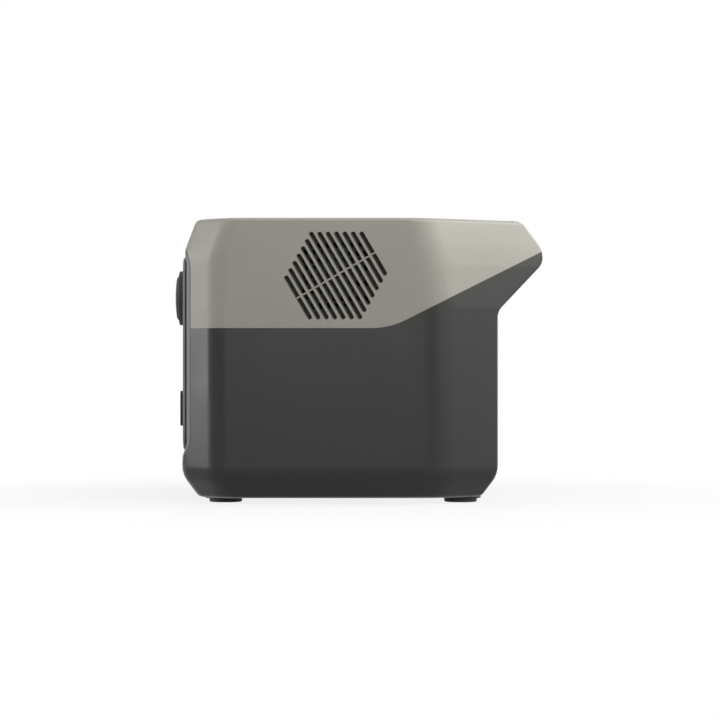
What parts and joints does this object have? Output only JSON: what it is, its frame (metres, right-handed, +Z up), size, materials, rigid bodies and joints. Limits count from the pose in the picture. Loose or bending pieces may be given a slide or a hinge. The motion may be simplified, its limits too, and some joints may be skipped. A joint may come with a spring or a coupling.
{
  "type": "portable power station",
  "caption": "Portable battery power station with a rear carrying handle, louvred hexagonal side vents, a front socket panel with a hinged cap, rear inlets and rubber feet.",
  "frame": {"origin": "on the floor under the middle of the whole object's box, feet included", "axes": "+Z up; the front panel faces -Y and the carrying handle points to +Y; +X is the side that the picture shows"},
  "size_m": [0.269, 0.2584, 0.197],
  "materials": {
    "pale_shell": "fine satin grain, pale olive grey",
    "dark_shell": "fine satin grain, dark charcoal",
    "bezel": "satin",
    "panel": "satin",
    "window": "smooth dark window",
    "display": "dark module",
    "button": "satin",
    "reset_red": "satin",
    "board": "solder mask",
    "black_plastic": "satin",
    "cap_rubber": "matt",
    "foot_rubber": "matt",
    "steel": "bright",
    "brass": "bright",
    "cell": "blue wrap on an aluminium can",
    "core": "ferrite core with yellow tape",
    "copper": "enamelled winding",
    "capacitor": "sleeved can",
    "sink": "extruded"
  },
  "bodies": {
    "housing": {"upper_shell": "pale_shell", "lower_shell": "dark_shell", "front_bezel": "bezel", "front_panel": "panel", "display_window": "window", "display_module": "display", "key_switches": "button", "io_board": "board", "car_socket": "black_plastic", "car_socket_nut": "black_plastic", "car_socket_contact": "brass", "cap_hinge_pin": "steel", "dc_jacks": "black_plastic", "dc_jack_pins": "brass", "usb_a_shells": "steel", "usb_a_tongues": "black_plastic", "usb_c_shells": "steel", "usb_c_tongues": "black_plastic", "ac_outlets": "black_plastic", "ac_contacts": "brass", "ac_inlet": "black_plastic", "ac_inlet_pins": "steel", "dc_input": "black_plastic", "dc_input_pins": "brass", "reset_breaker": "black_plastic", "rubber_feet": "foot_rubber", "case_screws": "steel", "right_fan_frame": "black_plastic", "left_fan_frame": "black_plastic", "fan_screws": "steel", "dust_screens": "black_plastic", "battery_tray": "black_plastic", "battery_cells": "cell", "end_plates": "steel", "bus_bars": "brass", "bms_board": "board", "deck": "black_plastic", "inverter_board": "board", "charge_board": "board", "transformer": "core", "inductors": "copper", "capacitors": "capacitor", "heat_sinks": "sink", "power_transistors": "black_plastic"},
    "power_button": {"power_button": "button"},
    "dc_button": {"dc_button": "button"},
    "ac_button": {"ac_button": "button"},
    "reset_button": {"reset_button": "reset_red"},
    "car_cap": {"car_socket_cap": "cap_rubber"},
    "right_rotor": {"right_fan_rotor": "black_plastic"},
    "left_rotor": {"left_fan_rotor": "black_plastic"}
  },
  "joints": [
    {"name": "power_press", "type": "slide", "parent": "housing", "child": "power_button", "axis": [0, 1, 0], "range_m": [0, 0.001], "stiffness_N_per_m": 800, "springref_m": -0.0004},
    {"name": "dc_press", "type": "slide", "parent": "housing", "child": "dc_button", "axis": [0, 1, 0], "range_m": [0, 0.001], "stiffness_N_per_m": 800, "springref_m": -0.0004},
    {"name": "ac_press", "type": "slide", "parent": "housing", "child": "ac_button", "axis": [0, 1, 0], "range_m": [0, 0.001], "stiffness_N_per_m": 800, "springref_m": -0.0004},
    {"name": "reset_press", "type": "slide", "parent": "housing", "child": "reset_button", "axis": [0, -1, 0], "range_m": [0, 0.0015], "stiffness_N_per_m": 800, "springref_m": -0.0004},
    {"name": "car_cap_hinge", "type": "hinge", "parent": "housing", "child": "car_cap", "pos_m": [0.0635, -0.12565, 0.143], "axis": [0, 0, -1], "range_deg": [0, 140]},
    {"name": "right_fan_spin", "type": "hinge", "parent": "housing", "child": "right_rotor", "pos_m": [0.1275, -0.01645, 0.1572], "axis": [1, 0, 0], "continuous": true},
    {"name": "left_fan_spin", "type": "hinge", "parent": "housing", "child": "left_rotor", "pos_m": [-0.1275, -0.01645, 0.1572], "axis": [1, 0, 0], "continuous": true}
  ]
}
